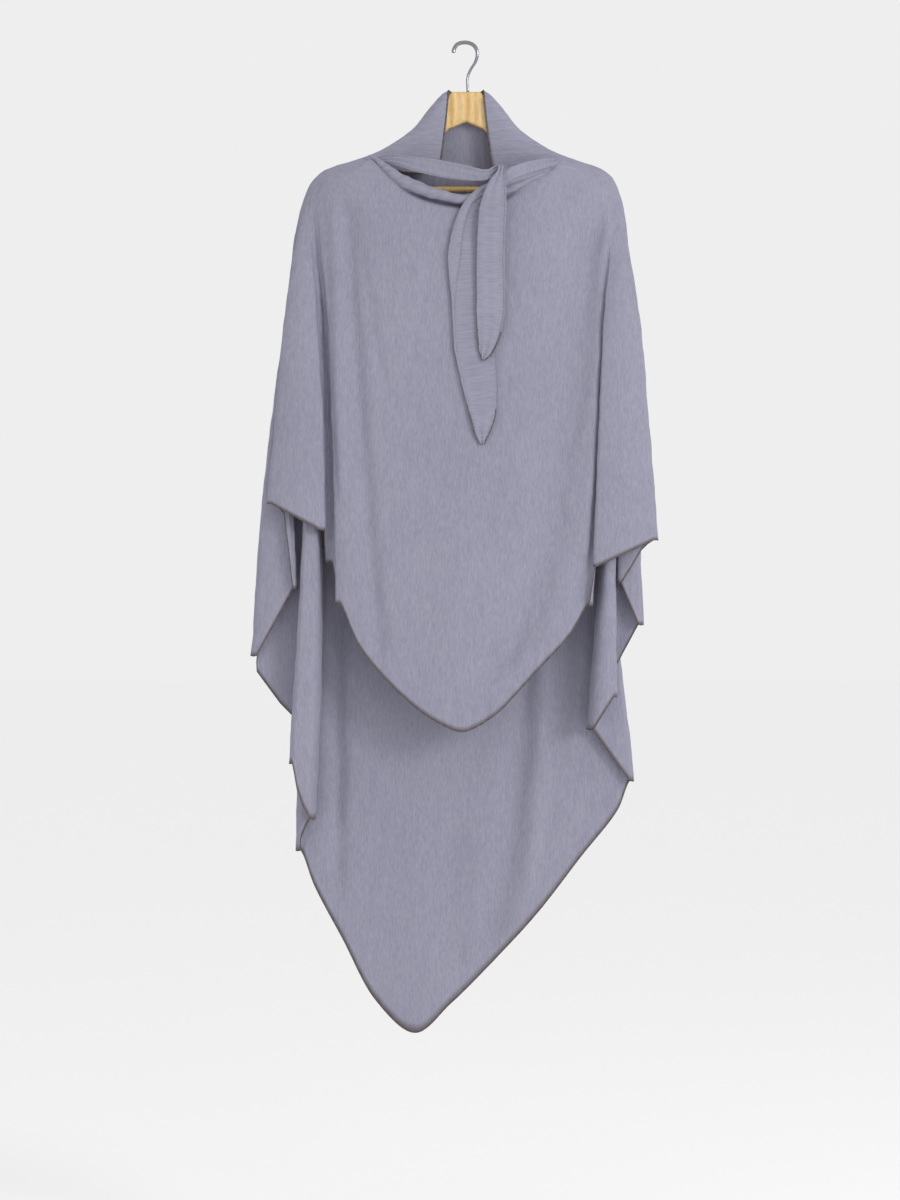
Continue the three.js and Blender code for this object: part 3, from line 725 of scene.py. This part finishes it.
def tie_piece(name, table, node, pleats, seed):
    """The strip's mesh with its wall and its UV in metres, the bead round its end, its length."""
    grid, walked = strip_grid(table, pleats, seed)
    waves = low_waves(grid, *STRIP_WAVES, seed)
    grid = grid + waves[..., None] * grid_normals(grid, False)
    across, steps = grid.shape[:2]
    quads = grid_quads(across, steps, False)
    flat = np.linspace(0, 2 * TIE_WIDTH, across)[:, None]
    uv = np.stack(np.broadcast_arrays(flat, walked), axis=-1).reshape(-1, 2)
    strip = mesh_piece(name, grid.reshape(-1, 3), quads, uv[quads.ravel()] / 1000)
    layer = strip.modifiers.new("wall", "SOLIDIFY")
    layer.thickness = LAYER_THICK / 1000
    layer.offset = 0
    last = -int(END_ROWS * TIE_STEPS)
    round_end = np.concatenate([grid[across // 2, last:], grid[0, last:][::-1]])
    end = tube_piece(name + "_hem", round_end, END_BEAD, END_SIDES)
    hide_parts(node)
    for piece in (strip, end):
        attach(piece, "root")
    print(name, "is", round(walked[-1]), "mm long with", len(quads), "quads")
    return strip, end, walked[-1]


tie_left, tie_left_hem, left_long = tie_piece("tie_short", LEFT_TIE, "tie_left", *SHORT_TIE)
tie_right, tie_right_hem, right_long = tie_piece("tie_long", RIGHT_TIE, "tie_right", *LONG_TIE)

# %% [markdown]
# ## The hanger
#
# The hook is one bent wire. A round section swept along a curve through its bends gives it, as
# the bender's jig would. The arms and the bar are plain turned and milled wood, and the packed
# solids already have their true shape, so they stay and get their finish from materials.

# %% Hook
# In mm: the curl's radius, the wire's thickness, and the wooden head's top, where it goes in.
HOOK_RADIUS, HOOK_WIRE = 19, 4
HEAD_TOP = -0.047 * HANG_DROP - 0.75
# The wire's bends from its tip to the head, across and up, in radii of the curl.
HOOK_ROUTE = (
    (-0.9, -0.66), (-0.88, -0.4), (-0.62, -0.02), (0, 0.105), (0.55, -0.1), (0.83, -0.62),
    (0.72, -1.3), (0.34, -1.95), (0.13, -2.5), (0.13, (HEAD_TOP + 0.3) / HOOK_RADIUS),
)
HOOK_RINGS, HOOK_SIDES = 150, 20
# The curl is a little stouter than the shaft, up to these shares of the wire's way. It grows
# outwards, so the inside stays in place. The tip is rounded over its first share of the way.
CURL_STOUTER, CURL_ENDS = 0.9, (0.45, 0.75)
TIP_SHARE, TIP_LEAST = 1 / 30, 0.35

along_wire = np.linspace(0, 1, HOOK_RINGS)
bends = np.array([(across, 0, up) for across, up in HOOK_ROUTE]) * HOOK_RADIUS
wire = catmull_rom(bends, np.linspace(0, len(bends) - 1, HOOK_RINGS))
stouter = CURL_STOUTER * (1 - smooth_step(*CURL_ENDS, along_wire))
run = np.gradient(wire, axis=0)
wire += unit(np.stack([-run[:, 2], 0 * run[:, 1], run[:, 0]], axis=1)) * stouter[:, None]
tip = np.clip(along_wire / TIP_SHARE, 0, 1)
rounding = np.sqrt(tip * (2 - tip)).clip(TIP_LEAST)
hook = tube_piece("hook_wire", wire, (HOOK_WIRE / 2 + stouter) * rounding, HOOK_SIDES)
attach(hook, "root")
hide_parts("hanger_hook")
print("hook wire:", len(hook.data.polygons), "faces")

# %% [markdown]
# ## Finishes
#
# Every material starts from what the real surface is. The crepe's crinkle is set by twisted
# yarn and heat, so it shows as short fine streaks along one direction: down the cloth on the
# body, and round it on the collar and the ties. Stretched noise gives such streaks as a bump,
# and the same noise paints the crinkle's shade and light into the colour: darker in its
# hollows and paler on its crests. One small function adds a node with its settings and links.
#
# A colour is written as its sRGB hex value and turned to linear, which is what the shader takes.

# %% Colours and nodes
def linear(code):
    """An sRGB hex colour as linear RGBA: ((c + 0.055) / 1.055) ^ 2.4, or c / 12.92 below 0.04."""
    c = np.array([int(code[k:k + 2], 16) for k in (1, 3, 5)]) / 255
    return (*np.where(c > 0.04045, ((c + 0.055) / 1.055) ** 2.4, c / 12.92).tolist(), 1)


def new_material(name):
    """A material with an empty node tree but for its output and a Principled shader."""
    material = bpy.data.materials.new(name)
    material.use_nodes = True
    tree = material.node_tree
    return material, tree, tree.nodes["Principled BSDF"]


def fill(tree, node, **sockets):
    """Sets or links a node's input sockets by name, and gives the node back.

    A socket's name has its blanks written as underscores. A value that is a socket is linked.
    """
    for key, value in sockets.items():
        socket = node.inputs[key.replace("_", " ")]
        if isinstance(value, bpy.types.NodeSocket):
            tree.links.new(value, socket)
        else:
            socket.default_value = value
    return node


def add_node(tree, kind, settings=None, **sockets):
    """Adds a node, sets its own settings, and fills its input sockets."""
    node = tree.nodes.new(kind)
    for key, value in (settings or {}).items():
        setattr(node, key, value)
    return fill(tree, node, **sockets)


print("middle grey as linear RGB:", np.round(linear("#808080")[:3], 3))

# %% Noise and mixing
def ramp(tree, factor, low, high):
    """A soft step of factor from low to high, as a socket from 0 to 1."""
    step = add_node(tree, "ShaderNodeMapRange", {"interpolation_type": "SMOOTHSTEP"},
                    Value=factor, From_Min=low, From_Max=high)
    return step.outputs["Result"]


def streaks(tree, place, scale, detail=3.0, rough=0.6):
    """Noise stretched by scale, in cycles per metre along each axis, as a socket."""
    stretched = add_node(tree, "ShaderNodeMapping", Vector=place, Scale=scale)
    noise = add_node(tree, "ShaderNodeTexNoise", {"noise_dimensions": "3D"}, Scale=1.0,
                     Vector=stretched.outputs["Vector"], Detail=detail, Roughness=rough)
    return noise.outputs["Fac"]


def turned_streaks(tree, place, turn, down, level, detail):
    """Streaks of the scale down, going over to the scale level where the socket turn is 1."""
    mixed = add_node(tree, "ShaderNodeMix", Factor=turn, A=streaks(tree, place, down, detail),
                     B=streaks(tree, place, level, detail))
    return mixed.outputs["Result"]


def topped(tree, base, extra, share):
    """The socket base plus share times the socket extra, as a socket."""
    total = add_node(tree, "ShaderNodeMath", {"operation": "MULTIPLY_ADD"}, Value=extra)
    total.inputs[1].default_value = share
    tree.links.new(base, total.inputs[2])
    return total.outputs["Value"]


def two_tone(tree, share, first, second):
    """The colour first going over to second by the socket share, as a socket."""
    mixed = add_node(tree, "ShaderNodeMixRGB", Fac=share, Color1=first, Color2=second)
    return mixed.outputs["Color"]


def give(material, *pieces):
    """Puts the material alone on each piece."""
    for piece in pieces:
        piece.data.materials.clear()
        piece.data.materials.append(material)


print("materials in the frame before any finish:", len(bpy.data.materials))

# %% Crinkled crepe
# Viscose or polyester crepe, woven plain from hard twisted yarn: matt, with a fine crinkle
# that scatters the light in streaks, and a slight bloom at grazing angles. The real crinkle is
# about 1 mm wide, and its streaks are drawn about 2 mm wide so that they show.
# The dark colour is the crinkle's painted shade in its hollows and the light one is its painted
# light on its crests. Blotches of random tone vary both.
CREPE_LIGHT, CREPE_DARK = "#9594a4", "#848395"
HEM_TAUPE = "#5d5352"
# Cycles per metre. The body's go across, back and down; the strip's go across it and along it.
BODY_FINE, BODY_BROAD, BODY_BLOTCH = (440, 440, 100), (190, 190, 40), (6, 6, 4)
COLLAR_FINE, COLLAR_BROAD = (70, 70, 430), (34, 34, 190)
STRIP_FINE, STRIP_BROAD, STRIP_BLOTCH = (70, 460, 1), (24, 170, 1), (14, 14, 1)
# How much the broad streaks add to the fine ones, and the blotches to both.
BROAD_SHARE, BLOTCH_SHARE = 0.35, 0.35
# Their sum, the crinkle's painted shade and light with the blotches' random tone, goes from
# the dark colour to the light one between these values.
SHADE_AND_TONE_RANGE = (0.5, 1.2)


def marked(tree, name):
    """A piece's own attribute as a socket, 0 on a piece that hasn't got it."""
    return add_node(tree, "ShaderNodeAttribute", {"attribute_name": name}).outputs["Fac"]


def crepe(name, place_kind):
    """Crinkled crepe: streaks down the cloth by Object coordinates, or across a strip by UV."""
    material, tree, shader = new_material(name)
    place = add_node(tree, "ShaderNodeTexCoord").outputs[place_kind]
    if place_kind == "Object":
        collar = marked(tree, "collar")
        fine = turned_streaks(tree, place, collar, BODY_FINE, COLLAR_FINE, 3)
        broad = turned_streaks(tree, place, collar, BODY_BROAD, COLLAR_BROAD, 2)
        blotch = streaks(tree, place, BODY_BLOTCH, 2)
    else:
        fine = streaks(tree, place, STRIP_FINE, 3)
        broad = streaks(tree, place, STRIP_BROAD, 2)
        blotch = streaks(tree, place, STRIP_BLOTCH, 2)
    height = topped(tree, fine, broad, BROAD_SHARE)
    # Painted shade and light: the colour follows the crinkle's bump height, darker in its hollows
    # and paler on its crests, with the blotches' random tone on top.
    pale = ramp(tree, topped(tree, height, blotch, BLOTCH_SHARE), *SHADE_AND_TONE_RANGE)
    colour = two_tone(tree, pale, linear(CREPE_DARK), linear(CREPE_LIGHT))
    if place_kind == "Object":
        colour = two_tone(tree, marked(tree, "hem"), colour, linear(HEM_TAUPE))
    bump = add_node(tree, "ShaderNodeBump", Height=height, Strength=0.5, Distance=0.0009)
    fill(tree, shader, Base_Color=colour, Normal=bump.outputs["Normal"], Roughness=0.86,
         Specular_IOR_Level=0.25, Sheen_Weight=0.12, Sheen_Roughness=0.4)
    return material


give(crepe("crinkled crepe, streaks down", "Object"), veil)
give(crepe("crinkled crepe, streaks across", "UV"), tie_left, tie_right)
print("crepe on", [piece.name for piece in (veil, tie_left, tie_right)])

# %% Rolled crepe of the neckline
# The roll's crinkle runs round the neck all along it, so its whole surface is marked as collar.
mark_points(neck_roll, "collar", np.ones(len(neck_roll.data.vertices)))
give(crepe("crinkled crepe, rolled", "Object"), neck_roll)
print(neck_roll.name, "has its crepe")

# %% Overlock thread
# Polyester overlock thread in taupe: matt, in close stitches. Real ones are under 1 mm, and they
# are drawn about 1.5 mm long, 650 cycles a metre, so that they show as bands round the bead.
THREAD_DARK, THREAD_LIGHT = "#453d3b", "#6d6260"
STITCH_SCALE = 650

overlock, tree, shader = new_material("overlock thread")
place = add_node(tree, "ShaderNodeTexCoord").outputs["Object"]
stitches = streaks(tree, place, (STITCH_SCALE,) * 3, 1)
colour = two_tone(tree, ramp(tree, stitches, 0.35, 0.65), linear(THREAD_DARK), linear(THREAD_LIGHT))
bump = add_node(tree, "ShaderNodeBump", Height=stitches, Strength=0.5, Distance=0.0005)
fill(tree, shader, Base_Color=colour, Normal=bump.outputs["Normal"], Roughness=0.8)
beads = (hem_bead, opening_bead, tie_left_hem, tie_right_hem)
give(overlock, *beads)
print("thread on", len(beads), "beads")

# %% Lacquered wood
# A pale hardwood such as beech under a clear honey lacquer: darker grain lines along the piece,
# fine pores, and a smooth glossy coat. The lacquer has pooled into shallow upright waves, which
# draw the studio's lights out into streaks, and the sanded edges are round.
EDGE_RADIUS = 0.0032
POOL_SCALE = 26
# Pores are this much finer than the grain, and add this share to it.
PORE_SCALE, PORE_SHARE = 4, 0.35


def wood(name, light, dark, scale):
    """Lacquered wood: scale is the grain's, in cycles per metre, least along the grain."""
    material, tree, shader = new_material(name)
    place = add_node(tree, "ShaderNodeTexCoord").outputs["Object"]
    lines = streaks(tree, place, scale, 4, 0.65)
    pores = streaks(tree, place, tuple(v * PORE_SCALE for v in scale), 2)
    grain = topped(tree, lines, pores, PORE_SHARE)
    colour = two_tone(tree, ramp(tree, grain, 0.5, 0.85), linear(dark), linear(light))
    rounded = add_node(tree, "ShaderNodeBevel", {"samples": 6}, Radius=EDGE_RADIUS)
    pooled = add_node(tree, "ShaderNodeTexWave", {"bands_direction": "X"}, Vector=place,
                      Scale=POOL_SCALE, Distortion=0.6, Detail=0.0)
    lacquer = add_node(tree, "ShaderNodeBump", Height=pooled.outputs["Fac"], Strength=0.8,
                       Distance=0.0012, Normal=rounded.outputs["Normal"])
    bump = add_node(tree, "ShaderNodeBump", Height=grain, Strength=0.1, Distance=0.0003,
                    Normal=lacquer.outputs["Normal"])
    fill(tree, shader, Base_Color=colour, Normal=bump.outputs["Normal"], Roughness=0.38,
         Coat_Weight=0.7, Coat_Roughness=0.12)
    return material


arm_wood = wood("honey lacquered wood", "#dabb85", "#cba25c", (60, 60, 16))
# The dowel's two colours are painted lighter than the arms' wood, to stand in for light it doesn't
# get in the shade inside the veil's neck.
dowel_wood_painted_lighter = wood("honey lacquered dowel", "#f0cf8a", "#d8ab58", (10, 200, 200))
for node, finish in (("hanger_arms", arm_wood), ("hanger_bar", dowel_wood_painted_lighter)):
    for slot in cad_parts[node].material_slots:
        slot.material = finish
    print(finish.name, "on", node)

# %% Chrome
# Bright chrome plated on steel wire and polished, rubbed a little dull by rails: it mirrors the
# pale room, and the studio's lights run along it as bright lines.
CHROME = "#8c8d92"
RUB_SCALE = 300

chrome, tree, shader = new_material("polished chrome wire")
place = add_node(tree, "ShaderNodeTexCoord").outputs["Object"]
rubbed = streaks(tree, place, (RUB_SCALE,) * 3, 3)
dull = add_node(tree, "ShaderNodeMapRange", Value=rubbed, To_Min=0.1, To_Max=0.24)
fill(tree, shader, Base_Color=linear(CHROME), Metallic=1, Roughness=dull.outputs["Result"])
give(chrome, hook)
print("chrome on", hook.name)

# %% [markdown]
# ## The cloth's areas
#
# A sheet of cloth keeps its area when it is hung.


def cloth_area(piece):
    """The area of a piece's faces before it has its thickness, in square metres."""
    return round(sum(face.area for face in piece.data.polygons), 4)


print("cloth areas in m2:", [cloth_area(piece) for piece in (veil, tie_left, tie_right)])

# %% [markdown]
# ## Studio
#
# The photograph has an even pale ground and soft light from the upper right, so the folds shade
# gently to the left. A wall behind the veil would hide it from the back, so the ground is a wide
# pale floor under a pale room of nearly the same tone, with hardly a line between them. The room
# gives the fill, and one soft light to the right gives the direction.

# %% Floor
# In metres. Painted board or seamless paper: quite matt, with a faint fibre in its roughness.
FLOOR_LEVEL, FLOOR_REACH = -1.78, 40
FLOOR_WHITE, ROOM_GREY = "#fefefe", "#eeeeee"
FIBRE_SCALE = 60

reach = np.array([-1.0, 1.0]) * FLOOR_REACH
corners = np.stack(np.broadcast_arrays(reach[:, None], reach[None, :], FLOOR_LEVEL), axis=-1)
# The quad is turned over, so that it faces up.
floor = mesh_piece("studio_floor", corners.reshape(-1, 3) * 1000, grid_quads(2, 2, False)[:, ::-1])
paper, tree, shader = new_material("pale studio paper")
place = add_node(tree, "ShaderNodeTexCoord").outputs["Object"]
fibre = add_node(tree, "ShaderNodeMapRange", Value=streaks(tree, place, (FIBRE_SCALE,) * 3, 2),
                 To_Min=0.88, To_Max=0.94)
fill(tree, shader, Base_Color=linear(FLOOR_WHITE), Roughness=fibre.outputs["Result"],
     Specular_IOR_Level=0.1)
give(paper, floor)
print("floor normal up:", floor.data.polygons[0].normal.z > 0)

# %% Room
world = bpy.data.worlds.new("pale room")
world.use_nodes = True
fill(world.node_tree, world.node_tree.nodes["Background"], Color=linear(ROOM_GREY), Strength=1)
bpy.context.scene.world = world
bpy.context.scene.view_settings.view_transform = "Standard"
print("room:", ROOM_GREY)

# %% Lights
def soft_light(name, place, aim, side, watts):
    """A square area light with this side at place, turned to shine on aim, all in metres."""
    data = bpy.data.lights.new(name, "AREA")
    data.size = side
    data.energy = watts
    lamp = bpy.data.objects.new(name, data)
    lamp.location = place
    lamp.rotation_euler = (Vector(aim) - Vector(place)).to_track_quat("-Z", "Y").to_euler()
    bpy.context.scene.collection.objects.link(lamp)


# The key shapes the folds, and the small strip gives the chrome and the lacquer their gloss.
soft_light("key", place=(2.8, -3.1, 0.5), aim=(0, 0, -0.65), side=1.2, watts=62)
soft_light("strip", place=(1.25, -4.2, 0.3), aim=(0, 0, -0.3), side=0.4, watts=7)
